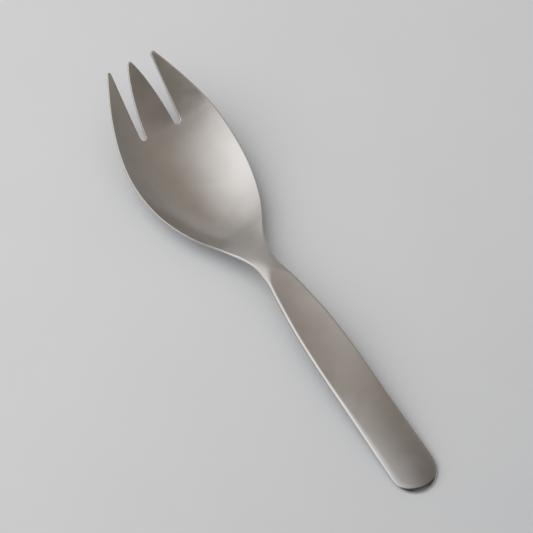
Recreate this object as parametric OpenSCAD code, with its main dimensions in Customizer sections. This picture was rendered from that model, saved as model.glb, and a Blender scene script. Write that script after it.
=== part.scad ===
// Serving spork of satin stainless steel, pressed from one blank: a flat handle with a round end, a
// narrow neck, and a dished bowl that sweeps up into three pointed tines. Lengths are in millimetres.
// X runs across the spork, Y along it towards the tips, and Z up from the table that it lies on.
// A few lines along the spork hold its form: its half width, the heights of the edges of the handle's
// face and of the bowl's, the crown of the handle and the roll of its edges, the depth of the dish, the
// thickness, and the edges of the slots. The two faces meet in a soft arched crease on the neck. Every
// solid is lofted through sections of these lines, so the six regions meet face to face without a step.

/* [Lengths] */
// From the round end of the handle to the narrowest place of the neck
handle_length = 107; // [90:1:130]
// From the narrowest place of the neck to the round ends of the slots
bowl_length = 66.5; // [55:0.5:80]
// From the round ends of the slots to the tip of the middle tine
tine_length = 26.5; // [18:0.5:36]
// How far the outer tines stop short of the middle one
outer_tine_setback = 0.5; // [0:0.1:2]

/* [Widths] */
// Width of the handle at its widest place, near its round end
handle_width = 20; // [14:0.5:26]
// Width of the neck at its narrowest place
neck_width = 10.2; // [8:0.2:13]
// Width of the bowl at its widest place
bowl_width = 49.4; // [42:0.2:58]
// Width of each slot at its round end
slot_width = 2.9; // [1.5:0.1:4]
// Distance between the middles of the two slots
slot_spacing = 16.6; // [13:0.2:20]
// Width of the outer tines at their blunt tips
tine_tip_width = 1.6; // [1:0.1:3]

/* [Heights] */
// Height of the handle's face above the table, where it ends on the neck
neck_height = 13.2; // [10:0.2:16]
// Height of the bowl's rim above the table, beside the round ends of the slots
slot_rim_height = 16.8; // [13:0.2:20]
// Height of the tips of the outer tines above the table
tip_height = 26.4; // [20:0.2:34]
// Depth of the bowl below its rim
bowl_depth = 8; // [5:0.1:10]
// How far the middle of the outer tips lies below their edges
tip_dish = 1.1; // [0:0.1:2]
// Rise of the handle's middle above its edges, near its round end
handle_crown = 1.2; // [0:0.1:1.6]
// How far the handle's middle lies below its edges, near the neck
handle_hollow = 0.4; // [0:0.1:0.8]
// Rise of the neck's middle above its edges, where it comes out of the handle's face
neck_crown = 1.7; // [1:0.1:2.5]
// Height over which the crease between the handle's face and the neck is rounded
crease_height = 0.5; // [0.1:0.1:1]

/* [Thickness] */
// Thickness of the steel at the end of the handle
handle_end_thickness = 2; // [1.2:0.1:3]
// How much further in the round of the handle's edges reaches at its end than near the neck
handle_edge_roll = 2; // [0:0.1:4]
// Thickness of the steel at the neck
neck_thickness = 2.2; // [1.6:0.1:4]
// Thickness of the steel at the rim of the bowl
rim_thickness = 1.4; // [0.8:0.1:2]
// Thickness of the steel at the tips of the tines
tip_thickness = 1.2; // [0.8:0.1:2]
// Radius on the edges of the slots
slot_edge_radius = 0.2; // [0.05:0.05:0.4]

/* [Hidden] */

steel = "#8d8880";
overall_length = handle_length + bowl_length + tine_length;
slot_start = handle_length + bowl_length;
rim_height = bowl_depth + rim_thickness;
handle_half = handle_width / 2;
neck_half = neck_width / 2;
bowl_half = bowl_width / 2;
slot_radius = slot_width / 2;
slot_middle = slot_spacing / 2;
outer_tip = overall_length - outer_tine_setback;
outer_tip_half = slot_middle + slot_radius + tine_tip_width;

// Flat land left at the blunt ends of the handle and the tines
end_land = 0.3;
// Length over which a blunt tip is rounded
tip_round = tine_tip_width / 2;
// Where the handle ends and the neck begins, as a share of the handle's length
handle_joint_share = 0.86;
// Where the neck ends and the bowl begins, as a share of the bowl's length
bowl_joint_share = 0.18;
handle_joint = handle_length * handle_joint_share;
bowl_joint = handle_length + bowl_length * bowl_joint_share;
// Thickness left at a blunt end, as a share of the thickness beside it
blunt_share = 0.45;
// Most that the steel thins below a crown, as a share of its thickness
thinning_limit = 0.6;
// Powers of the curve along the edges of the middle tine
taper_power = 1.5;
point_power = 0.75;

// Facets across a full section, across one tine and round an edge, and the number of sections
across_facets = 18;
tine_facets = 8;
edge_facets = 4;
handle_sections = 20;
neck_sections = 16;
bowl_sections = 24;
tine_sections = 16;
arc_sections = 9;
tip_sections = 4;

// Each pair of shares is a place along the stretch and the part of the way from one value to the next.
// Handle: from the handle's half width to the neck's
handle_taper_shares = [
    [0, 0], [0.1, 0], [0.35, 0.06], [0.59, 0.1], [0.72, 0.27], [0.84, 0.61], [0.94, 0.93], [1, 1]
];
// Bowl: from the neck's half width to the bowl's
bowl_flare_shares = [[0.075, 0.065], [0.18, 0.245], [0.35, 0.625], [0.54, 0.89], [0.76, 1], [0.95, 0.942]];
// Tines: from the bowl's half width to that of the outer tips
tine_taper_shares = [[0.33, 0.36], [0.76, 0.75], [1, 1]];
// Handle: from the height of its end up to the neck
handle_rise_shares = [
    [0.015, 0], [0.11, 0.137], [0.23, 0.282], [0.37, 0.444], [0.54, 0.653], [0.73, 0.855], [0.91, 1]
];
// Handle: from the roll of its edges at its end to none
handle_roll_shares = [[0, 0], [0.18, 0.2], [0.5, 1], [1, 1]];
// Handle: from its crown to its hollow
handle_hollow_shares = [
    [0.04, 0], [0.11, 0.03], [0.23, 0.155], [0.37, 0.39], [0.56, 0.875], [0.75, 1], [0.89, 0.875]
];
// Neck: from the height of the handle's face down to the rim of the bowl
neck_fall_shares = [[-0.105, 0.21], [-0.045, 0.37], [0, 0.51], [0.055, 0.7], [0.1, 0.85], [0.17, 1.03]];
// Bowl: from the rim's low stretch up to the rim beside the slots
rim_rise_shares = [[0.38, -0.08], [0.58, 0.025], [0.79, 0.37], [1, 1]];
// Tines: from the rim beside the slots up to the tips
tine_rise_shares = [[0.48, 0.46], [1, 1]];
// Neck: shares of its crown
neck_crown_shares = [[-0.105, 1], [-0.045, 0.93], [0, 0.77], [0.05, 0.5], [0.1, 0.22]];
// Bowl: shares of its depth
bowl_dish_shares = [
    [0.16, 0.12], [0.225, 0.37], [0.29, 0.62], [0.38, 0.83], [0.47, 0.945], [0.6, 1], [0.76, 0.95], [1, 0.76]
];
// Tines: from the depth beside the slots to that of the tips
tine_dish_shares = [[0.48, 0.46], [1, 1]];
// Handle: from the thickness at its end to that of the neck
handle_thickness_shares = [[0, 0], [0.44, 0.28], [0.8, 0.8], [0.95, 1]];
// Bowl: from the thickness of the neck to that of the rim
bowl_thickness_shares = [[0.09, 0.38], [0.32, 0.87], [0.7, 1]];

function mix(a, b, share) = a + (b - a) * share;

// Knots of a stretch: places from its start, and values between two named ones
function stretch(start, length, from, to, shares) =
    [for (k = shares) [start + length * k[0], mix(from, to, k[1])]];

width_line = concat(
    stretch(0, handle_length, handle_half, neck_half, handle_taper_shares),
    stretch(handle_length, bowl_length, neck_half, bowl_half, bowl_flare_shares),
    stretch(slot_start, outer_tip - slot_start, bowl_half, outer_tip_half, tine_taper_shares)
);
bowl_edge_line = concat(
    stretch(handle_length, bowl_length, neck_height, rim_height, neck_fall_shares),
    stretch(handle_length, bowl_length, rim_height, slot_rim_height, rim_rise_shares),
    stretch(slot_start, outer_tip - slot_start, slot_rim_height, tip_height, tine_rise_shares)
);
slot_dish = bowl_depth * bowl_dish_shares[len(bowl_dish_shares) - 1][1];
dish_line = concat(
    stretch(handle_length, bowl_length, 0, -neck_crown, neck_crown_shares),
    stretch(handle_length, bowl_length, 0, bowl_depth, bowl_dish_shares),
    stretch(slot_start, outer_tip - slot_start, slot_dish, tip_dish, tine_dish_shares)
);
thickness_line = concat(
    stretch(0, handle_length, handle_end_thickness, neck_thickness, handle_thickness_shares),
    stretch(handle_length, bowl_length, neck_thickness, rim_thickness, bowl_thickness_shares),
    [[overall_length, tip_thickness]]
);

// Rise of a line between two knots, and its slope at a knot from the parabola through the neighbours
function rise(line, i) = (line[i + 1][1] - line[i][1]) / (line[i + 1][0] - line[i][0]);
function run(line, i) = line[i + 1][0] - line[i][0];
function slope(line, i) =
    i == 0 ? rise(line, 0)
    : i == len(line) - 1 ? rise(line, i - 1)
    : mix(rise(line, i - 1), rise(line, i), run(line, i - 1) / (run(line, i - 1) + run(line, i)));

// Value of a line at a place: a cubic between the two knots beside it, and straight on past the ends
function along(line, place) =
    let (
        last = len(line) - 1,
        i = max([0, for (j = [0 : last - 1]) if (place >= line[j][0]) j]),
        t = (place - line[i][0]) / run(line, i),
        start = slope(line, i) * run(line, i),
        finish = slope(line, i + 1) * run(line, i)
    )
    place <= line[0][0] ? line[0][1] + slope(line, 0) * (place - line[0][0])
    : place >= line[last][0] ? line[last][1] + slope(line, last) * (place - line[last][0])
    : mix(line[i][1], line[i + 1][1], t * t * (3 - 2 * t))
        + start * t * (1 - t) * (1 - t) - finish * t * t * (1 - t);

// Share of its full size that a rounded end has at a distance from that end
function rounded(distance, radius) =
    distance >= radius ? 1 : sqrt(max(0, 1 - pow(1 - distance / radius, 2)));

function half_width(place) =
    mix(end_land, along(width_line, place), rounded(place, handle_half));

// Height of the bowl's face across a section, and of the table under the lowest place of the bowl
function bowl_face(across, place) =
    along(bowl_edge_line, place) - along(dish_line, place) * (1 - across * across);
table_height = min([
    for (i = [0 : bowl_sections])
        let (place = mix(bowl_joint, slot_start, i / bowl_sections))
        bowl_face(0, place) - along(thickness_line, place)
]);

// Height of the handle's face across a section; its end lies on the same table
handle_end_edge = handle_end_thickness - min(handle_crown, handle_end_thickness * thinning_limit);
handle_end_height = table_height + handle_end_edge;
handle_edge_line = stretch(0, handle_length, handle_end_height, neck_height, handle_rise_shares);
handle_crown_line = stretch(0, handle_length, handle_crown, -handle_hollow, handle_hollow_shares);
function handle_face(across, place) =
    along(handle_edge_line, place) + along(handle_crown_line, place) * (1 - across * across);

// How much further in than half the thickness the round of the handle's edges reaches
handle_roll_line = stretch(0, handle_length, handle_edge_roll, 0, handle_roll_shares);

// Lower of two heights, rounded where they cross
function soft_min(a, b, height) = min(a, b) - pow(max(0, height - abs(a - b)), 2) / (4 * height);

// Height of the upper face at a point of the plan: the handle's face, cut off by the neck and the bowl
function upper(x, place) =
    let (across = x / along(width_line, place))
    place <= handle_joint ? handle_face(across, place)
    : place >= bowl_joint ? bowl_face(across, place)
    : soft_min(handle_face(across, place), bowl_face(across, place), crease_height);

// Thickness at a point of the plan: the underside runs flat below a crown, and level with the face elsewhere
function thickness(x, place) =
    let (full = along(thickness_line, place), crown = max(0, upper(0, place) - upper(x, place)))
    full - min(crown, full * thinning_limit);
function middle(x, place) = upper(x, place) - table_height - thickness(x, place) / 2;

// Outer edge of a slot, and its inner edge, which is the half width of the middle tine
function slot_bulge(place) = slot_radius * rounded(place - slot_start, slot_radius);
function slot_outer(place) = slot_middle + slot_bulge(place);
function slot_inner(place) =
    let (
        taper = max(0, place - slot_start - slot_radius) / (tine_length - slot_radius),
        left_share = pow(max(0, 1 - pow(taper, taper_power)), point_power)
    )
    mix(end_land, slot_middle - slot_bulge(place), left_share);

// Closed section between two edges of the plan, with a round of a given radius on either edge
function section(place, left, right, left_round, right_round, fullness, facets) =
    let (
        x0 = left + left_round,
        x1 = right - right_round,
        y = place - overall_length / 2
    )
    [for (p = concat(
        [for (i = [0 : facets]) [mix(x0, x1, i / facets), -1]],
        [for (i = [1 : edge_facets - 1]) let (a = 180 * i / edge_facets - 90)
            [x1 + right_round * cos(a), sin(a)]],
        [for (i = [facets : -1 : 0]) [mix(x0, x1, i / facets), 1]],
        [for (i = [1 : edge_facets - 1]) let (a = 180 * i / edge_facets + 90)
            [x0 + left_round * cos(a), sin(a)]]
    )) [p[0], y, middle(p[0], place) + p[1] * fullness * thickness(p[0], place) / 2]];

// Section of the handle, the neck or the bowl, from rim to rim
function full_section(place) =
    let (
        half = half_width(place),
        roll = max(0, along(handle_roll_line, place)),
        round = min(thickness(half, place) / 2 + roll, half / 2),
        fullness = mix(blunt_share, 1, rounded(place, handle_end_thickness / 2 + handle_edge_roll))
    )
    section(place, -half, half, round, round, fullness, across_facets);

// Section of the middle tine, from slot to slot
function middle_tine_section(place) =
    let (
        half = slot_inner(place),
        round = min(slot_edge_radius, half / 2),
        fullness = mix(blunt_share, 1, rounded(overall_length - place, tip_round))
    )
    section(place, -half, half, round, round, fullness, tine_facets);

// Section of the right tine, from its slot to the rim, drawn in towards its middle at the blunt tip
function right_tine_section(place) =
    let (
        inner = slot_outer(place),
        outer = half_width(place),
        tip_share = rounded(outer_tip - place, tip_round),
        half = mix(end_land, (outer - inner) / 2, tip_share),
        centre = (outer + inner) / 2,
        inner_round = min(slot_edge_radius, half / 2),
        outer_round = min(thickness(outer, place), half) / 2
    )
    section(place, centre - half, centre + half, inner_round, outer_round,
        mix(blunt_share, 1, tip_share), tine_facets);

// Flat face over a section: strips between its lower and upper rows, and a fan over each round edge
function section_face(first, facets) =
    let (right = facets, left = 2 * facets + edge_facets, count = 2 * facets + 2 * edge_facets)
    [for (t = concat(
        [for (i = [0 : facets - 1]) each [[i, i + 1, left - i], [i + 1, left - i - 1, left - i]]],
        [for (i = [1 : edge_facets - 1]) [right, right + i, right + i + 1]],
        [for (i = [1 : edge_facets - 1]) [left, left + i, (left + i + 1) % count]]
    )) [for (i = t) first + i]];
function turned(faces) = [for (f = faces) [f[2], f[1], f[0]]];

// Solid through a row of sections, closed by a flat face at both ends
module loft(sections, facets) {
    count = len(sections[0]);
    last = (len(sections) - 1) * count;
    sides = [
        for (ring = [0 : count : last - count]) for (i = [0 : count - 1])
            let (a = ring + i, b = ring + (i + 1) % count)
            each [[a, b, a + count], [b, b + count, a + count]]
    ];
    faces = concat(turned(section_face(0, facets)), sides, section_face(last, facets));
    polyhedron(points = [for (ring = sections) each ring], faces = faces);
}

// Places along a stretch: evenly spaced, and crowded together towards a round end
function even_places(from, to, count) = [for (i = [1 : count]) mix(from, to, i / count)];
function round_places(end, radius, count) =
    [for (i = [0 : count]) end + radius * (1 - cos(90 * i / count))];

handle_places = concat(
    round_places(0, handle_half, arc_sections),
    even_places(handle_half, handle_joint, handle_sections)
);
neck_places = concat([handle_joint], even_places(handle_joint, bowl_joint, neck_sections));
bowl_places = concat([bowl_joint], even_places(bowl_joint, slot_start, bowl_sections));

// Places along a tine, from the round end of the slot to the blunt tip
function tine_places(tip) = concat(
    round_places(slot_start, slot_radius, arc_sections),
    even_places(slot_start + slot_radius, tip - tip_round, tine_sections),
    [for (i = [tip_sections - 1 : -1 : 0]) tip - tip_round * (1 - cos(90 * i / tip_sections))]
);

module handle() {
    color(steel) loft([for (place = handle_places) full_section(place)], across_facets);
}

module neck() {
    color(steel) loft([for (place = neck_places) full_section(place)], across_facets);
}

module bowl() {
    color(steel) loft([for (place = bowl_places) full_section(place)], across_facets);
}

module middle_tine() {
    color(steel) loft([for (place = tine_places(overall_length)) middle_tine_section(place)], tine_facets);
}

module outer_tine() {
    loft([for (place = tine_places(outer_tip)) right_tine_section(place)], tine_facets);
}

module right_tine() {
    color(steel) outer_tine();
}

module left_tine() {
    color(steel) mirror([1, 0, 0]) outer_tine();
}

handle();
neck();
bowl();
left_tine();
middle_tine();
right_tine();
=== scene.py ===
"""A serving spork of satin stainless steel, lying on a pale table in soft studio light.

The spork is pressed from one blank, so its handle, neck, bowl and tines are regions of one unbroken
skin of steel. A few smooth lines along the spork hold its form: half width, heights, dish and
thickness. The skin is lofted through fine sections of those lines, shared out among the named pieces,
and every piece stands for the solid of the same name. All sizes are in metres.
"""

import logging
import math
from collections.abc import Callable
from dataclasses import dataclass, field, replace
from enum import Enum
from functools import cached_property

import bpy
import numpy as np
from mathutils import Matrix, Quaternion, Vector


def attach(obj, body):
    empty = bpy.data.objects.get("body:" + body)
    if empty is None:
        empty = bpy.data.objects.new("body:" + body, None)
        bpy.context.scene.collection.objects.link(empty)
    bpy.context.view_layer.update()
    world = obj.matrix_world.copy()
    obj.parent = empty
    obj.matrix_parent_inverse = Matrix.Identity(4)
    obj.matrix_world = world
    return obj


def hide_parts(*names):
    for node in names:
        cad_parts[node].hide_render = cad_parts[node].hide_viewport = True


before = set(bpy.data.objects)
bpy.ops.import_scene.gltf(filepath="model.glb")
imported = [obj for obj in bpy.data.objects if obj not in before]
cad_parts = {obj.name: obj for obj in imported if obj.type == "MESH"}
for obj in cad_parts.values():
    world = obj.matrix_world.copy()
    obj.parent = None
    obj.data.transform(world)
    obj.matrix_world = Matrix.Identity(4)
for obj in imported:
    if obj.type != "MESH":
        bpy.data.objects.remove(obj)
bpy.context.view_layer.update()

BODY = "root"
STEEL_SLOT = "satin_steel"

log = logging.getLogger("spork")

Shares = tuple[tuple[float, float], ...]
Knots = list[tuple[float, float]]
Colour = tuple[float, float, float]
Place = tuple[float, float, float]

NOISE_LOW = 0.3
NOISE_HIGH = 0.7
LEAN_STEP = 0.00005
LEAST_AREA = 1e-20


class Side(Enum):
    """Which side of the long middle plane a tine lies on."""

    LEFT = -1
    RIGHT = 1


def mix(a: np.ndarray, b: np.ndarray, share: np.ndarray) -> np.ndarray:
    """Value that lies a share of the way from a to b."""
    return a + (b - a) * share


def rounded(distance: np.ndarray, radius: np.ndarray) -> np.ndarray:
    """Share of its full size that a rounded end has at a distance from that end."""
    left = np.clip(1 - distance / radius, 0, 1)
    return np.sqrt(1 - left**2)


def eased(share: np.ndarray) -> np.ndarray:
    """A share from 0 to 1 that starts and stops gently."""
    share = np.clip(share, 0, 1)
    return share * share * (3 - 2 * share)


def arc_shares(steps: int) -> np.ndarray:
    """Distances from an edge to the points of a quarter round on it, as shares of its radius."""
    return 1 - np.cos(np.linspace(0, math.pi / 2, steps + 1))


def lean_of(outline: Callable[[np.ndarray], np.ndarray], places: np.ndarray) -> np.ndarray:
    """Cosine of the angle between an outline and the spork's length.

    Args:
        outline: Function that gives the distance of the outline at places.
        places: Distances from the round end of the handle.

    Returns:
        One cosine for each place.
    """
    slope = (outline(places + LEAN_STEP) - outline(places - LEAN_STEP)) / (2 * LEAN_STEP)
    return 1 / np.sqrt(1 + slope**2)


def closed_faces(corners: np.ndarray) -> list[list[int]]:
    """Faces of a sheet; a face with two corners in one point becomes a triangle, or is left out.

    Args:
        corners: Numbers of four points for each face.

    Returns:
        One list of point numbers for each face.
    """
    quads = corners.reshape(-1, 4).tolist()
    faces = [[n for i, n in enumerate(quad) if n != quad[i - 1]] for quad in quads]
    return [face for face in faces if len(face) > 2]


def looking(place: Place, aim: Place) -> Quaternion:
    """Turn that makes a lamp or a camera at a place look at a point."""
    return (Vector(aim) - Vector(place)).to_track_quat("-Z", "Y")


def stretch(start: float, length: float, first: float, last: float, shares: Shares) -> Knots:
    """Knots of one stretch of a line.

    Args:
        start: Place where the stretch starts.
        length: Length of the stretch.
        first: Value at share 0.
        last: Value at share 1.
        shares: Pairs of a place along the stretch and a part of the way from first to last.

    Returns:
        Pairs of a place and a value.
    """
    return [(start + length * place, first + (last - first) * share) for place, share in shares]


@dataclass(frozen=True)
class Line:
    """A smooth line of values along the spork, through a few knots."""

    knots: Knots

    def at(self, places: np.ndarray) -> np.ndarray:
        """Values of the line: cubics between the knots, and straight on past the ends.

        Args:
            places: Distances from the round end of the handle.

        Returns:
            One value for each place.
        """
        places = np.asarray(places, dtype=float)
        x, y = np.array(self.knots).T
        run = np.diff(x)
        rise = np.diff(y) / run
        inner = mix(rise[:-1], rise[1:], run[:-1] / (run[:-1] + run[1:]))
        slope = np.concatenate(([rise[0]], inner, [rise[-1]]))
        i = np.clip(np.searchsorted(x, places, side="right") - 1, 0, len(run) - 1)
        t = (places - x[i]) / run[i]
        bend = slope[i] * t * (1 - t) ** 2 - slope[i + 1] * t * t * (1 - t)
        between = mix(y[i], y[i + 1], t * t * (3 - 2 * t)) + bend * run[i]
        before = y[0] + slope[0] * (places - x[0])
        after = y[-1] + slope[-1] * (places - x[-1])
        return np.where(places <= x[0], before, np.where(places >= x[-1], after, between))


@dataclass
class SporkForm:
    """Sizes of the spork, and the smooth lines and faces that follow from them."""

    handle_length: float = 0.107
    bowl_length: float = 0.0665
    tine_length: float = 0.0265
    outer_tine_setback: float = 0.0005
    handle_width: float = 0.020
    neck_width: float = 0.0102
    bowl_width: float = 0.0494
    slot_width: float = 0.0029
    slot_spacing: float = 0.0166
    tine_tip_width: float = 0.0016
    neck_height: float = 0.0132
    slot_rim_height: float = 0.0168
    tip_height: float = 0.0264
    bowl_depth: float = 0.008
    tip_dish: float = 0.0011
    handle_crown: float = 0.0012
    handle_hollow: float = 0.0004
    neck_crown: float = 0.0017
    crease_height: float = 0.0005
    handle_end_thickness: float = 0.002
    handle_edge_roll: float = 0.002
    neck_thickness: float = 0.0022
    rim_thickness: float = 0.0014
    tip_thickness: float = 0.0012
    slot_edge_radius: float = 0.0003
    tip_land: float = 0.0003
    handle_joint_share: float = 0.86
    bowl_joint_share: float = 0.18
    taper_power: float = 1.5
    point_power: float = 0.75
    thinning_limit: float = 0.6
    seam_share: float = 0.5
    end_seam_share: float = 0.2
    end_seam_length: float = 0.008
    table_steps: int = 25

    handle_taper_shares: Shares = (
        (0, 0), (0.1, 0), (0.35, 0.06), (0.59, 0.1), (0.72, 0.27), (0.84, 0.61), (0.94, 0.93), (1, 1),
    )
    bowl_flare_shares: Shares = (
        (0.075, 0.065), (0.18, 0.245), (0.35, 0.625), (0.54, 0.89), (0.76, 1), (0.95, 0.942),
    )
    tine_taper_shares: Shares = ((0.33, 0.36), (0.76, 0.75), (1, 1))
    handle_rise_shares: Shares = (
        (0.015, 0), (0.11, 0.137), (0.23, 0.282), (0.37, 0.444), (0.54, 0.653), (0.73, 0.855), (0.91, 1),
    )
    handle_roll_shares: Shares = ((0, 0), (0.18, 0.2), (0.5, 1), (1, 1))
    handle_hollow_shares: Shares = (
        (0.04, 0), (0.11, 0.03), (0.23, 0.155), (0.37, 0.39), (0.56, 0.875), (0.75, 1), (0.89, 0.875),
    )
    neck_fall_shares: Shares = (
        (-0.105, 0.21), (-0.045, 0.37), (0, 0.51), (0.055, 0.7), (0.1, 0.85), (0.17, 1.03),
    )
    rim_rise_shares: Shares = ((0.38, -0.08), (0.58, 0.025), (0.79, 0.37), (1, 1))
    tine_rise_shares: Shares = ((0.48, 0.46), (1, 1))
    neck_crown_shares: Shares = ((-0.105, 1), (-0.045, 0.93), (0, 0.77), (0.05, 0.5), (0.1, 0.22))
    bowl_dish_shares: Shares = (
        (0.16, 0.12), (0.225, 0.37), (0.29, 0.62), (0.38, 0.83),
        (0.47, 0.945), (0.6, 1), (0.76, 0.95), (1, 0.76),
    )
    tine_dish_shares: Shares = ((0.48, 0.46), (1, 1))
    handle_thickness_shares: Shares = ((0, 0), (0.44, 0.28), (0.8, 0.8), (0.95, 1))
    bowl_thickness_shares: Shares = ((0.09, 0.38), (0.32, 0.87), (0.7, 1))

    @cached_property
    def overall_length(self) -> float:
        """Length from the round end of the handle to the middle tip."""
        return self.handle_length + self.bowl_length + self.tine_length

    @cached_property
    def slot_start(self) -> float:
        """Place of the round ends of the slots."""
        return self.handle_length + self.bowl_length

    @cached_property
    def handle_joint(self) -> float:
        """Place where the handle ends and the neck begins."""
        return self.handle_length * self.handle_joint_share

    @cached_property
    def bowl_joint(self) -> float:
        """Place where the neck ends and the bowl begins."""
        return self.handle_length + self.bowl_length * self.bowl_joint_share

    @cached_property
    def outer_tip(self) -> float:
        """Place of the tips of the outer tines."""
        return self.overall_length - self.outer_tine_setback

    @cached_property
    def slot_radius(self) -> float:
        """Radius of the round end of a slot."""
        return self.slot_width / 2

    @cached_property
    def slot_middle(self) -> float:
        """Distance of a slot's middle from the spork's middle plane."""
        return self.slot_spacing / 2

    @cached_property
    def tip_round(self) -> float:
        """Length over which a blunt tip is rounded."""
        return self.tine_tip_width / 2

    @cached_property
    def width_line(self) -> Line:
        """Half width of the outline."""
        neck, bowl = self.neck_width / 2, self.bowl_width / 2
        tip = self.slot_middle + self.slot_radius + self.tine_tip_width
        return Line(
            stretch(0, self.handle_length, self.handle_width / 2, neck, self.handle_taper_shares)
            + stretch(self.handle_length, self.bowl_length, neck, bowl, self.bowl_flare_shares)
            + stretch(self.slot_start, self.outer_tip - self.slot_start, bowl, tip, self.tine_taper_shares)
        )

    @cached_property
    def bowl_edge_line(self) -> Line:
        """Height of the bowl's face at its edges, with the neck before it and the tines after it."""
        rim = self.bowl_depth + self.rim_thickness
        tines = self.outer_tip - self.slot_start
        return Line(
            stretch(self.handle_length, self.bowl_length, self.neck_height, rim, self.neck_fall_shares)
            + stretch(self.handle_length, self.bowl_length, rim, self.slot_rim_height, self.rim_rise_shares)
            + stretch(self.slot_start, tines, self.slot_rim_height, self.tip_height, self.tine_rise_shares)
        )

    @cached_property
    def dish_line(self) -> Line:
        """Depth of the bowl's face below its edges; the neck's crown counts as less than nothing."""
        slot_dish = self.bowl_depth * self.bowl_dish_shares[-1][1]
        tines = self.outer_tip - self.slot_start
        return Line(
            stretch(self.handle_length, self.bowl_length, 0, -self.neck_crown, self.neck_crown_shares)
            + stretch(self.handle_length, self.bowl_length, 0, self.bowl_depth, self.bowl_dish_shares)
            + stretch(self.slot_start, tines, slot_dish, self.tip_dish, self.tine_dish_shares)
        )

    @cached_property
    def thickness_line(self) -> Line:
        """Thickness of the steel."""
        end, neck, rim = self.handle_end_thickness, self.neck_thickness, self.rim_thickness
        return Line(
            stretch(0, self.handle_length, end, neck, self.handle_thickness_shares)
            + stretch(self.handle_length, self.bowl_length, neck, rim, self.bowl_thickness_shares)
            + [(self.overall_length, self.tip_thickness)]
        )

    @cached_property
    def table_height(self) -> float:
        """Height of the table under the lowest place of the bowl, in the heights of the lines."""
        places = np.linspace(self.bowl_joint, self.slot_start, self.table_steps)
        return float(np.min(self.bowl_face(0, places) - self.thickness_line.at(places)))

    @cached_property
    def handle_edge_line(self) -> Line:
        """Height of the handle's face at its edges; its end lies on the table."""
        end = self.table_height + self.handle_end_thickness - self.handle_crown
        return Line(stretch(0, self.handle_length, end, self.neck_height, self.handle_rise_shares))

    @cached_property
    def handle_crown_line(self) -> Line:
        """Rise of the handle's middle above its edges, which turns into a shallow hollow near the neck."""
        crown, hollow = self.handle_crown, self.handle_hollow
        return Line(stretch(0, self.handle_length, crown, -hollow, self.handle_hollow_shares))

    @cached_property
    def handle_roll_line(self) -> Line:
        """How much further in the round of the handle's edges reaches than half the thickness."""
        return Line(stretch(0, self.handle_length, self.handle_edge_roll, 0, self.handle_roll_shares))

    def bowl_face(self, across: np.ndarray, places: np.ndarray) -> np.ndarray:
        """Height of the bowl's face at shares of the half width."""
        return self.bowl_edge_line.at(places) - self.dish_line.at(places) * (1 - across * across)

    def handle_face(self, across: np.ndarray, places: np.ndarray) -> np.ndarray:
        """Height of the handle's face at shares of the half width."""
        return self.handle_edge_line.at(places) + self.handle_crown_line.at(places) * (1 - across * across)

    def upper(self, x: np.ndarray, places: np.ndarray) -> np.ndarray:
        """Height of the upper face: the handle's face, cut off by the neck and the bowl.

        Args:
            x: Distances from the middle plane.
            places: Distances from the round end of the handle.

        Returns:
            Heights above the table.
        """
        across = x / self.width_line.at(places)
        handle, bowl = self.handle_face(across, places), self.bowl_face(across, places)
        near = np.maximum(0, self.crease_height - np.abs(handle - bowl))
        crease = np.minimum(handle, bowl) - near**2 / (4 * self.crease_height)
        ahead = np.where(places >= self.bowl_joint, bowl, crease)
        return np.where(places <= self.handle_joint, handle, ahead) - self.table_height

    def thickness(self, x: np.ndarray, places: np.ndarray) -> np.ndarray:
        """Thickness of the steel: the underside runs flat below a crown, and level with the face elsewhere.

        Args:
            x: Distances from the middle plane.
            places: Distances from the round end of the handle.

        Returns:
            One thickness for each point.
        """
        crown = np.maximum(0, self.upper(np.zeros_like(x), places) - self.upper(x, places))
        full = self.thickness_line.at(places)
        return full - np.minimum(crown, full * self.thinning_limit)

    def edge_reach(self, places: np.ndarray) -> np.ndarray:
        """How far in from the outline the round of the edge reaches."""
        edge = self.thickness(self.half_width(places), places) / 2
        return edge + np.maximum(0, self.handle_roll_line.at(places))

    def seam(self, places: np.ndarray) -> np.ndarray:
        """How far up the edge's thickness the outline lies: halfway, and lower at the handle's end."""
        return mix(self.end_seam_share, self.seam_share, eased(places / self.end_seam_length))

    def half_width(self, places: np.ndarray) -> np.ndarray:
        """Half width of the outline, drawn in at the round end of the handle."""
        return self.width_line.at(places) * rounded(places, self.handle_width / 2)

    def half_width_lean(self, places: np.ndarray) -> np.ndarray:
        """Cosine of the angle between the outline and the spork's length."""
        return lean_of(self.half_width, places)

    def slot_bulge(self, places: np.ndarray, away: np.ndarray = 0) -> np.ndarray:
        """Half width of a slot, or of the line that goes round it at a distance away."""
        behind = np.maximum(0, self.slot_start + self.slot_radius - places)
        return np.sqrt(np.maximum(0, (self.slot_radius + away) ** 2 - behind**2))

    def middle_half(self, places: np.ndarray) -> np.ndarray:
        """Half width of the middle tine, which tapers in a full curve to its tip.

        Args:
            places: Distances from the round end of the handle.

        Returns:
            One half width for each place.
        """
        reach = self.tine_length - self.slot_radius
        taper = np.clip((places - self.slot_start - self.slot_radius) / reach, 0, 1)
        left = (1 - taper**self.taper_power) ** self.point_power
        return mix(self.tip_land, self.slot_middle - self.slot_bulge(places), left)


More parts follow.
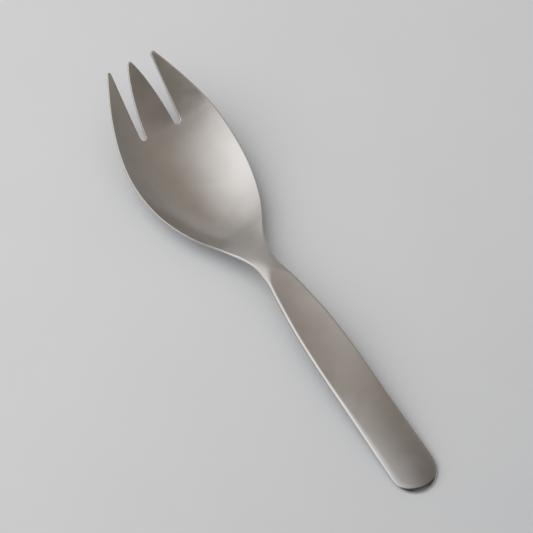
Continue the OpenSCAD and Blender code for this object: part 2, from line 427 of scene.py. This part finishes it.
@dataclass
class Columns:
    """How many columns of points lie across the skin, and where they run."""

    form: SporkForm
    middle: int = 8
    slot: int = 4
    outer: int = 9
    rim: int = 6
    spread: float = 0.0001
    fan_length: float = 0.016
    least_lean: float = 0.05
    outer_room_share: float = 1 / 6
    middle_room_share: float = 1 / 3

    @cached_property
    def rim_start(self) -> int:
        """Number of the column where the round of the rim starts."""
        return self.middle + 2 * self.slot + self.outer

    @cached_property
    def slot_column(self) -> int:
        """Number of the column that runs into the round end of a slot."""
        return self.middle + self.slot

    def slot_offsets(self, places: np.ndarray, room: np.ndarray) -> np.ndarray:
        """Distances from a slot's middle to the columns that wrap round its end.

        Args:
            places: Distances from the round end of the handle, one for each row.
            room: Most that the round on the slot's edge may take up, one for each row.

        Returns:
            Rows of distances, from the slot's edge outwards.
        """
        form = self.form
        radius = np.minimum(form.slot_edge_radius, room)[:, None]
        away = radius * arc_shares(self.slot)
        least = self.spread * np.arange(self.slot + 1)
        return np.maximum(least, form.slot_bulge(places[:, None], away))

    def rim_offsets(self, places: np.ndarray, half: np.ndarray) -> np.ndarray:
        """Distances from the outline to the columns on the round of the rim.

        Args:
            places: Distances from the round end of the handle, one for each row.
            half: Half width there.

        Returns:
            Rows of distances, from the start of the round to the outline.
        """
        form = self.form
        radius = form.edge_reach(places) / np.maximum(form.half_width_lean(places), self.least_lean)
        return np.minimum(radius, half / 2)[:, None] * arc_shares(self.rim)[::-1]

    def full(self, places: np.ndarray) -> np.ndarray:
        """Columns of the right half of the handle, the neck and the bowl.

        Args:
            places: Distances from the round end of the handle, one for each row.

        Returns:
            Rows of distances from the middle plane, from the middle to the rim.
        """
        form = self.form
        half = form.half_width(places)
        rim = half[:, None] - self.rim_offsets(places, half)
        start = rim[:, :1]
        even = start * np.linspace(0, 1, self.rim_start + 1)
        wrap = self.slot_offsets(places, np.full_like(places, form.slot_edge_radius))
        inner = form.slot_middle - wrap[:, ::-1]
        outer = form.slot_middle + wrap
        slotted = np.hstack((
            inner[:, :1] * np.linspace(0, 1, self.middle + 1),
            inner[:, 1:],
            outer[:, 1:],
            mix(outer[:, -1:], start, np.linspace(0, 1, self.outer + 1)[1:]),
        ))
        near_slot = eased(1 - (form.slot_start - places) / self.fan_length)[:, None]
        return np.hstack((mix(even, slotted, near_slot), rim[:, 1:]))

    def outer_tine(self, places: np.ndarray) -> np.ndarray:
        """Columns of the right tine, from its slot to the rim, drawn together at the blunt tip.

        Args:
            places: Distances from the round end of the handle, one for each row.

        Returns:
            Rows of distances from the middle plane.
        """
        form = self.form
        half = form.half_width(places)
        wide = half - form.slot_middle - form.slot_bulge(places)
        slot = form.slot_middle + self.slot_offsets(places, wide * self.outer_room_share)
        most = wide[:, None] / 2 * arc_shares(self.rim)[::-1]
        rim = half[:, None] - np.minimum(self.rim_offsets(places, half), most)
        between = mix(slot[:, -1:], rim[:, :1], np.linspace(0, 1, self.outer + 1)[1:])
        x = np.hstack((slot, between, rim[:, 1:]))
        centre = half[:, None] - wide[:, None] / 2
        return mix(centre, x, rounded(form.outer_tip - places, form.tip_round)[:, None])

    def middle_tine(self, places: np.ndarray) -> np.ndarray:
        """Columns of the right half of the middle tine, drawn together at the blunt tip.

        Args:
            places: Distances from the round end of the handle, one for each row.

        Returns:
            Rows of distances from the middle plane.
        """
        form = self.form
        half = form.middle_half(places)
        room = half * self.middle_room_share
        root = form.slot_middle - self.slot_offsets(places, room)[:, ::-1]
        radius = np.minimum(form.slot_edge_radius / lean_of(form.middle_half, places), room)
        blade = half[:, None] - radius[:, None] * arc_shares(self.slot)[::-1]
        edge = np.where(places[:, None] < form.slot_start + form.slot_radius, root, blade)
        x = np.hstack((edge[:, :1] * np.linspace(0, 1, self.middle + 1), edge[:, 1:]))
        return x * rounded(form.overall_length - places, form.tip_round)[:, None]


@dataclass
class SteelSkin:
    """One unbroken skin of steel, whose faces are shared out among the named pieces."""

    form: SporkForm
    columns: Columns
    points: list[np.ndarray] = field(default_factory=list)
    wear: list[float] = field(default_factory=list)
    faces: dict[str, list] = field(default_factory=dict)
    caps: dict[str, list] = field(default_factory=dict)

    def add_grid(
        self, x: np.ndarray, places: np.ndarray, depth: np.ndarray
    ) -> tuple[np.ndarray, np.ndarray]:
        """Adds the points of an upper and a lower face.

        Args:
            x: Rows of distances from the middle plane.
            places: Distance from the round end of the handle, one for each row.
            depth: Rows of half thicknesses, rounded off at the edges.

        Returns:
            Numbers of the upper and the lower points, in rows.
        """
        form = self.form
        along = np.broadcast_to(places[:, None], x.shape)
        steel = form.thickness(x, along) / 2
        above = 1 - form.seam(along)
        seam = form.upper(x, along) - 2 * steel * above
        first = len(self.points)
        numbers = np.arange(x.size).reshape(x.shape)
        for height in (seam + 2 * depth * above, seam - 2 * depth * (1 - above)):
            spots = np.stack((x, along - form.overall_length / 2, height), axis=-1)
            self.points.extend(spots.reshape(-1, 3))
            self.wear.extend((1 - depth / steel).ravel())
        return first + numbers, first + x.size + numbers

    def add_faces(self, piece: str, rows: np.ndarray) -> None:
        """Adds a sheet of faces between rows of points."""
        corners = np.stack((rows[:-1, :-1], rows[:-1, 1:], rows[1:, 1:], rows[1:, :-1]), axis=-1)
        self.faces.setdefault(piece, []).extend(closed_faces(corners))

    def add_cap(self, piece: str, top: np.ndarray, bottom: np.ndarray, forward: float) -> None:
        """Closes a piece with a flat face where the steel runs on into the next piece.

        Args:
            piece: Name of the piece.
            top: Numbers of the upper points of the section.
            bottom: Numbers of the lower points.
            forward: 1 where the face looks towards the tips, -1 where it looks towards the handle.
        """
        corners = np.stack((bottom[:-1], bottom[1:], top[1:], top[:-1]), axis=-1)
        if forward > 0:
            corners = corners[:, ::-1]
        self.caps.setdefault(piece, []).extend((face, forward) for face in closed_faces(corners))

    def rim_depth(self, x: np.ndarray, places: np.ndarray) -> np.ndarray:
        """Half thickness of the steel, rounded off towards the outline.

        Args:
            x: Rows of distances from the middle plane.
            places: Distances from the round end of the handle, one for each row.

        Returns:
            Rows of half thicknesses.
        """
        form = self.form
        along = np.broadcast_to(places[:, None], x.shape)
        half = form.half_width(places)[:, None]
        end = form.handle_width / 2
        level = (half - np.abs(x)) * form.half_width_lean(places)[:, None]
        round_end = end - np.hypot(x, end - along)
        away = np.where(along < end, round_end, level)
        steel = form.thickness(x, along) / 2
        return steel * rounded(np.maximum(away, 0), form.edge_reach(places)[:, None])

    def slot_depth(self, away: np.ndarray, x: np.ndarray, places: np.ndarray) -> np.ndarray:
        """Half thickness of the steel, with a small round on the edge of a slot.

        Args:
            away: Rows of distances from the slot's edge.
            x: Rows of distances from the middle plane.
            places: Distance from the round end of the handle, one for each row.

        Returns:
            Rows of half thicknesses.
        """
        form = self.form
        steel = form.thickness(x, np.broadcast_to(places[:, None], x.shape)) / 2
        radius = form.slot_edge_radius
        return steel - radius + radius * rounded(np.maximum(away, 0), radius)

    def root_distance(self, x: np.ndarray, places: np.ndarray) -> np.ndarray:
        """Distance from the round end of the nearer slot.

        Args:
            x: Rows of distances from the middle plane.
            places: Distances from the round end of the handle, one for each row.

        Returns:
            Rows of distances.
        """
        form = self.form
        behind = form.slot_start + form.slot_radius - places[:, None]
        return np.hypot(np.abs(x) - form.slot_middle, np.maximum(behind, 0)) - form.slot_radius


@dataclass
class Shaft:
    """The handle, the neck and the bowl, from the round end up to the slots."""

    skin: SteelSkin
    handle_rows: int = 58
    neck_rows: int = 44
    bowl_rows: int = 64
    end_rows: int = 14

    def build(self) -> tuple[np.ndarray, np.ndarray]:
        """Lofts the three pieces.

        Returns:
            Numbers of the upper and the lower points of the last section.
        """
        form, columns, skin = self.skin.form, self.skin.columns, self.skin
        end = form.handle_width / 2
        ends = np.concatenate((
            end * arc_shares(self.end_rows),
            np.linspace(end, form.handle_joint, self.handle_rows + 1)[1:],
            np.linspace(form.handle_joint, form.bowl_joint, self.neck_rows + 1)[1:],
            np.linspace(form.bowl_joint, form.slot_start - form.slot_edge_radius, self.bowl_rows + 1)[1:],
            form.slot_start - form.slot_edge_radius * arc_shares(columns.slot)[::-1][1:],
        ))
        half = columns.full(ends)
        x = np.hstack((-half[:, :0:-1], half))
        slot_edge = skin.slot_depth(skin.root_distance(x, ends), x, ends)
        depth = np.minimum(skin.rim_depth(x, ends), slot_edge)
        top, bottom = skin.add_grid(x, ends, depth)
        bottom[:, 0], bottom[:, -1] = top[:, 0], top[:, -1]
        top[0] = bottom[0] = top[0, 0]
        neck = self.end_rows + self.handle_rows
        bowl = neck + self.neck_rows
        stops = [("handle", 0, neck), ("neck", neck, bowl), ("bowl", bowl, len(ends) - 1)]
        for piece, first, last in stops:
            skin.add_faces(piece, top[first : last + 1])
            skin.add_faces(piece, bottom[first : last + 1, ::-1])
            if first:
                skin.add_cap(piece, top[first], bottom[first], -1)
            skin.add_cap(piece, top[last], bottom[last], 1)
        return top[-1], bottom[-1]


@dataclass
class Tines:
    """The three pointed tines that the bowl sweeps up into."""

    skin: SteelSkin
    root_rows: int = 10
    blade_rows: int = 30
    tip_rows: int = 6

    def places(self, tip: float) -> np.ndarray:
        """Places of the sections of a tine that ends at a tip.

        Args:
            tip: Distance of the tip from the round end of the handle.

        Returns:
            One place for each section.
        """
        form = self.skin.form
        root = form.slot_start + form.slot_radius
        return np.concatenate((
            form.slot_start + form.slot_radius * arc_shares(self.root_rows),
            np.linspace(root, tip - form.tip_round, self.blade_rows + 1)[1:],
            tip - form.tip_round * arc_shares(self.tip_rows)[::-1][1:],
        ))

    def build_outer(self, side: Side, top_root: np.ndarray, bottom_root: np.ndarray) -> None:
        """Lofts the left or the right tine on to the bowl.

        Args:
            side: Which of the two tines it is.
            top_root: Numbers of the upper points of the bowl's last section.
            bottom_root: Numbers of the lower points.
        """
        form, columns, skin = self.skin.form, self.skin.columns, self.skin
        piece = f"{side.name.lower()}_tine"
        places = self.places(form.outer_tip)
        x = columns.outer_tine(places)
        blade = x - form.slot_middle - form.slot_radius
        past_root = places[:, None] > form.slot_start + form.slot_radius
        away = np.where(past_root, blade, skin.root_distance(x, places))
        depth = np.minimum(skin.rim_depth(x, places), skin.slot_depth(away, x, places))
        depth = depth * rounded(form.outer_tip - places, form.tip_round)[:, None]
        if side is Side.LEFT:
            x, depth = -x[:, ::-1], depth[:, ::-1]
        top, bottom = skin.add_grid(x, places, depth)
        count = x.shape[1]
        outline = 0 if side is Side.LEFT else count - 1
        slot = count - 1 - outline
        bottom[:, outline] = top[:, outline]
        span = slice(0, count) if side is Side.LEFT else slice(len(top_root) - count, None)
        top[0], bottom[0] = top_root[span], bottom_root[span]
        top[-1] = bottom[-1] = top[-1, 0]
        skin.add_faces(piece, top)
        skin.add_faces(piece, bottom[:, ::-1])
        wall = np.stack((bottom[:, slot], top[:, slot]), axis=-1)
        skin.add_faces(piece, wall if side is Side.RIGHT else wall[:, ::-1])
        skin.add_cap(piece, top[0], bottom[0], -1)

    def build_middle(self, top_root: np.ndarray, bottom_root: np.ndarray) -> None:
        """Lofts the middle tine on to the bowl.

        Args:
            top_root: Numbers of the upper points of the bowl's last section.
            bottom_root: Numbers of the lower points.
        """
        form, columns, skin = self.skin.form, self.skin.columns, self.skin
        piece = "middle_tine"
        places = self.places(form.overall_length)
        half = columns.middle_tine(places)
        x = np.hstack((-half[:, :0:-1], half))
        lean = lean_of(form.middle_half, places)[:, None]
        blade = (form.middle_half(places)[:, None] - np.abs(x)) * lean
        past_root = places[:, None] > form.slot_start + form.slot_radius
        away = np.where(past_root, blade, skin.root_distance(x, places))
        tip = rounded(form.overall_length - places, form.tip_round)[:, None]
        depth = skin.slot_depth(away, x, places) * tip
        top, bottom = skin.add_grid(x, places, depth)
        centre = len(top_root) // 2
        span = slice(centre - columns.slot_column, centre + columns.slot_column + 1)
        top[0], bottom[0] = top_root[span], bottom_root[span]
        top[-1] = bottom[-1] = top[-1, 0]
        skin.add_faces(piece, top)
        skin.add_faces(piece, bottom[:, ::-1])
        skin.add_faces(piece, np.stack((bottom[:, 0], top[:, 0]), axis=-1))
        skin.add_faces(piece, np.stack((top[:, -1], bottom[:, -1]), axis=-1))
        skin.add_cap(piece, top[0], bottom[0], -1)


@dataclass
class NodeBench:
    """A material or a world on the bench: puts nodes into its tree and links them."""

    tree: bpy.types.NodeTree

    def add(self, kind: str, **settings: object) -> bpy.types.Node:
        """Adds a node and sets its plain settings.

        Args:
            kind: Type of the node.
            settings: Value for each setting.

        Returns:
            The node.
        """
        node = self.tree.nodes.new(kind)
        for name, value in settings.items():
            setattr(node, name, value)
        return node

    def feed(self, node: bpy.types.Node, **values: object) -> bpy.types.Node:
        """Feeds the inputs of a node.

        Args:
            node: Node to feed.
            values: Socket or value for each input; an underscore in a name stands for a space, and a name
                such as input_1 for the number of the input.

        Returns:
            The same node.
        """
        for name, value in values.items():
            number = name.removeprefix("input_")
            socket = node.inputs[int(number) if number.isdigit() else name.replace("_", " ")]
            if isinstance(value, bpy.types.NodeSocket):
                self.tree.links.new(value, socket)
            else:
                socket.default_value = value
        return node

    def math(self, operation: str, first: object, second: object = 0.0) -> bpy.types.NodeSocket:
        """Result of a sum on two numbers or sockets."""
        node = self.add("ShaderNodeMath", operation=operation)
        return self.feed(node, input_0=first, input_1=second).outputs[0]

    def vector(self, operation: str, first: object, second: object) -> bpy.types.Node:
        """Node that works on two vectors."""
        node = self.add("ShaderNodeVectorMath", operation=operation)
        return self.feed(node, input_0=first, input_1=second)

    def ramp(
        self, value: object, low: float, high: float, to_low: float, to_high: float
    ) -> bpy.types.NodeSocket:
        """Value that goes smoothly from one number to another while a socket goes from low to high.

        Args:
            value: Socket that goes from low to high.
            low: Where the change starts.
            high: Where it ends.
            to_low: Number at low.
            to_high: Number at high.

        Returns:
            Socket with the value.
        """
        node = self.add("ShaderNodeMapRange", interpolation_type="SMOOTHSTEP")
        self.feed(node, Value=value, From_Min=low, From_Max=high, To_Min=to_low, To_Max=to_high)
        return node.outputs["Result"]

    def swing(self, noise: object, low: float, high: float) -> bpy.types.NodeSocket:
        """Value that swings from low to high with a noise."""
        return self.ramp(noise, NOISE_LOW, NOISE_HIGH, low, high)

    def scaled(self, colour: object, factor: object) -> bpy.types.NodeSocket:
        """Colour or vector times a number."""
        node = self.add("ShaderNodeVectorMath", operation="SCALE")
        return self.feed(node, input_0=colour, Scale=factor).outputs["Vector"]

    def noise(self, place: object, scale: float, detail: float) -> bpy.types.NodeSocket:
        """Soft random values from 0 to 1."""
        node = self.add("ShaderNodeTexNoise")
        return self.feed(node, Vector=place, Scale=scale, Detail=detail).outputs["Fac"]

    def bump(self, height: object, distance: float, **under: object) -> bpy.types.NodeSocket:
        """Normals of a face with a fine relief, which may lie on another one."""
        node = self.add("ShaderNodeBump")
        return self.feed(node, Height=height, Strength=1.0, Distance=distance, **under).outputs["Normal"]


@dataclass(frozen=True)
class SatinSteel:
    """Satin stainless steel: a fine lengthwise grain, faint clouds from handling, and a few specks."""

    name: str = STEEL_SLOT
    colour: Colour = (0.566, 0.555, 0.541)
    roughness: float = 0.17
    cloud_scale: float = 75.0
    cloud_detail: float = 3.0
    cloud_depth: float = 0.045
    grain_scale: float = 2600.0
    grain_detail: float = 2.0
    grain_stretch: float = 0.06
    grain_depth: float = 0.02
    grain_height: float = 0.0000002
    satin_scale: float = 5200.0
    satin_detail: float = 1.0
    satin_height: float = 0.00000012
    speck_scale: float = 75.0
    speck_size: float = 0.035
    speck_core_share: float = 1 / 3
    speck_share: float = 0.3
    speck_shade: float = 0.86
    edge_polish: float = 0.04

    def material(self) -> bpy.types.Material:
        """Makes the material of the finish.

        Returns:
            The material.
        """
        material = bpy.data.materials.new(self.name)
        material.use_nodes = True
        shader = material.node_tree.nodes["Principled BSDF"]
        bench = NodeBench(material.node_tree)
        place = bench.add("ShaderNodeTexCoord").outputs["Object"]
        along = bench.vector("MULTIPLY", place, (1, self.grain_stretch, 1)).outputs["Vector"]
        clouds = bench.noise(place, self.cloud_scale, self.cloud_detail)
        grain = bench.noise(along, self.grain_scale, self.grain_detail)
        satin = bench.noise(place, self.satin_scale, self.satin_detail)
        edge = bench.add("ShaderNodeAttribute", attribute_name="edge_wear").outputs["Fac"]
        polish = bench.math("MULTIPLY", edge, -self.edge_polish)
        bench.feed(
            shader,
            Base_Color=bench.scaled(self.colour, self.shade(bench, place, clouds)),
            Metallic=1.0,
            Roughness=bench.math("ADD", self.rough(bench, clouds, grain), polish),
            Normal=bench.bump(grain, self.grain_height, Normal=bench.bump(satin, self.satin_height)),
        )
        return material

    def shade(self, bench: NodeBench, place: object, clouds: object) -> bpy.types.NodeSocket:
        """Lightness of the steel: faint clouds, and a few small dark specks.

        Args:
            bench: Bench of the material.
            place: Socket with the place on the spork.
            clouds: Socket with the clouds.

        Returns:
            Socket with a factor for the colour.
        """
        cells = bench.feed(bench.add("ShaderNodeTexVoronoi"), Vector=place, Scale=self.speck_scale)
        core = self.speck_size * self.speck_core_share
        near = bench.ramp(cells.outputs["Distance"], core, self.speck_size, 1, 0)
        pick = bench.vector("DOT_PRODUCT", cells.outputs["Color"], (1, 0, 0)).outputs["Value"]
        chosen = bench.math("MULTIPLY", near, bench.math("LESS_THAN", pick, self.speck_share))
        specks = bench.math("SUBTRACT", 1, bench.math("MULTIPLY", chosen, 1 - self.speck_shade))
        return bench.math("MULTIPLY", specks, bench.swing(clouds, 1 - self.cloud_depth, 1 + self.cloud_depth))

    def rough(self, bench: NodeBench, clouds: object, grain: object) -> bpy.types.NodeSocket:
        """Roughness of the steel: clouds from handling, and streaks along the grain.

        Args:
            bench: Bench of the material.
            clouds: Socket with the clouds.
            grain: Socket with the lengthwise grain.

        Returns:
            Socket with the roughness.
        """
        handled = bench.swing(clouds, self.roughness - self.cloud_depth, self.roughness + self.cloud_depth)
        return bench.math("ADD", handled, bench.swing(grain, -self.grain_depth, self.grain_depth))


@dataclass
class Spork:
    """The whole spork: its skin, cut into the six named pieces and dressed in steel."""

    form: SporkForm = field(default_factory=SporkForm)
    finish: SatinSteel = field(default_factory=SatinSteel)

    def skin(self) -> SteelSkin:
        """Lofts the skin of the whole spork.

        Returns:
            The skin, with its faces shared out among the pieces.
        """
        skin = SteelSkin(self.form, Columns(self.form))
        top, bottom = Shaft(skin).build()
        tines = Tines(skin)
        tines.build_outer(Side.LEFT, top, bottom)
        tines.build_middle(top, bottom)
        tines.build_outer(Side.RIGHT, top, bottom)
        return skin

    @staticmethod
    def normals(skin: SteelSkin, points: np.ndarray) -> np.ndarray:
        """Directions in which the skin looks at its points, taken over all pieces together.

        Args:
            skin: Skin of the whole spork.
            points: Its points.

        Returns:
            One direction for each point.
        """
        total = np.zeros_like(points)
        faces = [face for piece in skin.faces.values() for face in piece]
        a, b, c, d = (points[numbers] for numbers in np.array([(*face, face[-1])[:4] for face in faces]).T)
        area = np.cross(c - a, d - b)
        for numbers in np.array([(*face, face[0])[:4] for face in faces]).T:
            np.add.at(total, numbers, area)
        return total / np.maximum(np.linalg.norm(total, axis=1, keepdims=True), LEAST_AREA)

    def build(self) -> list[bpy.types.Object]:
        """Makes one object for each piece, in the place of the solid of the same name.

        Returns:
            The six objects.
        """
        skin = self.skin()
        points = np.array(skin.points)
        normals = self.normals(skin, points)
        wear = np.array(skin.wear)
        material = self.finish.material()
        return [self.piece(name, skin, points, normals, wear, material) for name in skin.faces]

    def piece(
        self,
        name: str,
        skin: SteelSkin,
        points: np.ndarray,
        normals: np.ndarray,
        wear: np.ndarray,
        material: bpy.types.Material,
    ) -> bpy.types.Object:
        """Makes one piece of the spork.

        Args:
            name: Name of the piece and of the solid that it stands for.
            skin: Skin of the whole spork.
            points: Points of the skin.
            normals: Directions of the skin at its points.
            wear: How near each point lies to an edge, from 0 to 1.
            material: Material of the steel.

        Returns:
            The object.
        """
        shown = skin.faces[name]
        caps = skin.caps.get(name, [])
        used = sorted({n for face in shown for n in face} | {n for face, _ in caps for n in face})
        new_number = {n: i for i, n in enumerate(used)}
        faces = [[new_number[n] for n in face] for face in shown + [face for face, _ in caps]]
        mesh = bpy.data.meshes.new(f"steel_{name}")
        mesh.from_pydata(points[used].tolist(), [], faces)
        mesh.shade_smooth()
        looks = [tuple(normals[n]) for face in shown for n in face]
        looks += [(0, forward, 0) for face, forward in caps for _ in face]
        mesh.normals_split_custom_set(looks)
        attribute = mesh.attributes.new("edge_wear", "FLOAT", "POINT")
        attribute.data.foreach_set("value", wear[used].astype(np.float32))
        mesh.materials.append(material)
        piece = bpy.data.objects.new(f"steel_{name}", mesh)
        bpy.context.collection.objects.link(piece)
        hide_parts(name)
        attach(piece, BODY)
        log.info("%s: %d points, %d faces", piece.name, len(used), len(faces))
        return piece


@dataclass
class Table:
    """The pale table top that the spork lies on."""

    size: float = 6.0
    colour: Colour = (0.546, 0.575, 0.610)
    roughness: float = 0.75
    mottle_scale: float = 26.0
    mottle_detail: float = 4.0
    mottle_depth: float = 0.006
    tooth_scale: float = 1500.0
    tooth_detail: float = 2.0
    tooth_height: float = 0.00001

    def build(self) -> bpy.types.Object:
        """Makes the table top as a stage, which is no part of the spork.

        Returns:
            The object.
        """
        half = self.size / 2
        mesh = bpy.data.meshes.new("table_top")
        corners = [(-half, -half, 0), (half, -half, 0), (half, half, 0), (-half, half, 0)]
        mesh.from_pydata(corners, [], [(0, 1, 2, 3)])
        mesh.materials.append(self.material())
        table = bpy.data.objects.new("table_top", mesh)
        bpy.context.collection.objects.link(table)
        log.info("%s: %.1f m square", table.name, self.size)
        return table

    def material(self) -> bpy.types.Material:
        """Makes the finish of the table top: matt and pale, with the faintest mottle.

        Returns:
            The material.
        """
        material = bpy.data.materials.new("table_top")
        material.use_nodes = True
        bench = NodeBench(material.node_tree)
        place = bench.add("ShaderNodeTexCoord").outputs["Object"]
        clouds = bench.noise(place, self.mottle_scale, self.mottle_detail)
        tooth = bench.noise(place, self.tooth_scale, self.tooth_detail)
        mottle = bench.swing(clouds, 1 - self.mottle_depth, 1 + self.mottle_depth)
        bench.feed(
            material.node_tree.nodes["Principled BSDF"],
            Base_Color=bench.scaled(self.colour, mottle),
            Roughness=self.roughness,
            Normal=bench.bump(tooth, self.tooth_height),
        )
        return material


@dataclass(frozen=True)
class SoftGlow:
    """A big round patch of the room with a light of its own and a soft edge. Angles are in degrees."""

    strength: float
    tilt: float
    azimuth: float
    core: float
    fade: float
    colour: Colour = (1.0, 1.0, 1.0)

    @property
    def light(self) -> Colour:
        """Light that comes from the middle of the patch."""
        return tuple(self.strength * part for part in self.colour)

    def patch(self, bench: NodeBench, look: object) -> bpy.types.NodeSocket:
        """How much of the patch is seen in a direction, from 0 to 1.

        Args:
            bench: Bench of the world.
            look: Socket with the direction.

        Returns:
            Socket with the share.
        """
        tilt, azimuth = math.radians(self.tilt), math.radians(self.azimuth)
        middle = (math.sin(tilt) * math.cos(azimuth), math.sin(tilt) * math.sin(azimuth), math.cos(tilt))
        angle = bench.math("ARCCOSINE", bench.vector("DOT_PRODUCT", look, middle).outputs["Value"])
        return bench.ramp(angle, math.radians(self.core), math.radians(self.core + self.fade), 1, 0)


@dataclass(frozen=True)
class SoftBox:
    """A soft lamp that looks at a point. The camera never sees it."""

    name: str
    place: Place
    aim: Place
    width: float
    height: float
    power: float
    colour: Colour = (1.0, 1.0, 1.0)
    spread: float = 180.0
    mirrored: bool = True

    def moved(self, along: float, up: float) -> "SoftBox":
        """The same lamp, moved along the spork and up."""
        shift = np.array((0, along, up))
        return replace(self, place=tuple(self.place + shift), aim=tuple(self.aim + shift))

    def build(self) -> bpy.types.Object:
        """Makes the lamp, which shows in the steel only if it is mirrored.

        Returns:
            The object.
        """
        data = bpy.data.lights.new(self.name, "AREA")
        data.shape = "RECTANGLE"
        data.size, data.size_y = self.width, self.height
        data.spread = math.radians(self.spread)
        data.energy = self.power
        data.color = self.colour
        lamp = bpy.data.objects.new(self.name, data)
        lamp.location = self.place
        lamp.visible_camera = False
        lamp.visible_glossy = self.mirrored
        lamp.rotation_euler = looking(self.place, self.aim).to_euler()
        bpy.context.collection.objects.link(lamp)
        log.info("%s: %.2f W", lamp.name, self.power)
        return lamp


@dataclass
class Studio:
    """Soft studio light: a room that is bright on the left and dark at the front, and two soft lamps.

    The lamp overhead is made of layers, one above the other, so that its front edge is soft.
    """

    room: Colour = (0.232, 0.208, 0.189)
    left_glow: SoftGlow = SoftGlow(
        strength=1.03, tilt=53, azimuth=170, core=0, fade=97, colour=(0.97, 1.005, 1.05)
    )
    back_glow: SoftGlow = SoftGlow(
        strength=0.24, tilt=81, azimuth=52, core=0, fade=52, colour=(0.96, 1.0, 1.05)
    )
    right_glow: SoftGlow = SoftGlow(strength=0.063, tilt=86, azimuth=5, core=11, fade=25)
    dark_front: SoftGlow = SoftGlow(
        strength=0.07, tilt=97, azimuth=270, core=65, fade=5, colour=(1.1, 1.0, 0.9)
    )
    low_front: SoftGlow = SoftGlow(
        strength=0.12, tilt=73, azimuth=282, core=15, fade=20, colour=(1.1, 1.0, 0.9)
    )
    overhead_layers: int = 4
    overhead_step: float = 0.0215
    overhead_rise: float = 0.002
    overhead: SoftBox = SoftBox(
        name="overhead",
        place=(0.10, 0.202, 0.15),
        aim=(0.10, 0.202, 0),
        width=1.40,
        height=0.60,
        power=0.0875,
        colour=(1.14, 1.0, 0.84),
        spread=152,
    )
    window: SoftBox = SoftBox(
        name="window",
        place=(-0.693, 0.561, 0.803),
        aim=(0, 0, 0),
        width=1.2,
        height=1.2,
        power=10.6,
        colour=(1.08, 1.0, 0.91),
        mirrored=False,
    )

    @staticmethod
    def lit(bench: NodeBench, look: object, light: object, glow: SoftGlow) -> bpy.types.NodeSocket:
        """Light of the room with a glow added to it."""
        return bench.vector("ADD", light, bench.scaled(glow.light, glow.patch(bench, look))).outputs["Vector"]

    def build(self) -> None:
        """Makes the room's own light and the lamps."""
        world = bpy.data.worlds.new("room")
        world.use_nodes = True
        bench = NodeBench(world.node_tree)
        look = bench.add("ShaderNodeTexCoord").outputs["Generated"]
        light = self.room
        for glow in (self.left_glow, self.back_glow, self.right_glow):
            light = self.lit(bench, look, light, glow)
        kept = bench.math("SUBTRACT", 1, self.dark_front.patch(bench, look))
        light = bench.scaled(light, kept)
        for glow in (self.dark_front, self.low_front):
            light = self.lit(bench, look, light, glow)
        bench.feed(world.node_tree.nodes["Background"], Color=light, Strength=1.0)
        bpy.context.scene.world = world
        for layer in range(self.overhead_layers):
            self.overhead.moved(layer * self.overhead_step, layer * self.overhead_rise).build()
        self.window.build()


@dataclass
class PhotoCamera:
    """Camera at the viewing angle of the photograph."""

    aim: Place = (0.0, 0.0052, 0.0102)
    place: Place = (-0.7583, -0.4482, 1.3225)
    roll: float = 25.14
    image_side: int = 533
    focal_pixels: float = 4152.0
    sensor: float = 36.0
    farthest: float = 100.0

    def build(self) -> bpy.types.Object:
        """Makes the camera and sets it as the scene's camera.

        Returns:
            The object.
        """
        data = bpy.data.cameras.new("photo_camera")
        data.sensor_width = self.sensor
        data.lens = self.focal_pixels / self.image_side * self.sensor
        data.clip_end = self.farthest
        camera = bpy.data.objects.new("photo_camera", data)
        look = looking(self.place, self.aim).to_matrix()
        turn = Matrix.Rotation(math.radians(self.roll), 3, "Z")
        camera.matrix_world = Matrix.Translation(Vector(self.place)) @ (look @ turn).to_4x4()
        bpy.context.collection.objects.link(camera)
        bpy.context.scene.camera = camera
        log.info("%s: %.0f mm lens", camera.name, data.lens)
        return camera


def main() -> None:
    """Builds the spork, the table, the light and the camera."""
    logging.basicConfig(level=logging.INFO, format="%(name)s: %(message)s")
    bpy.context.scene.view_settings.view_transform = "Standard"
    Spork().build()
    Table().build()
    Studio().build()
    PhotoCamera().build()
    bpy.context.view_layer.update()


if __name__ == "__main__":
    main()
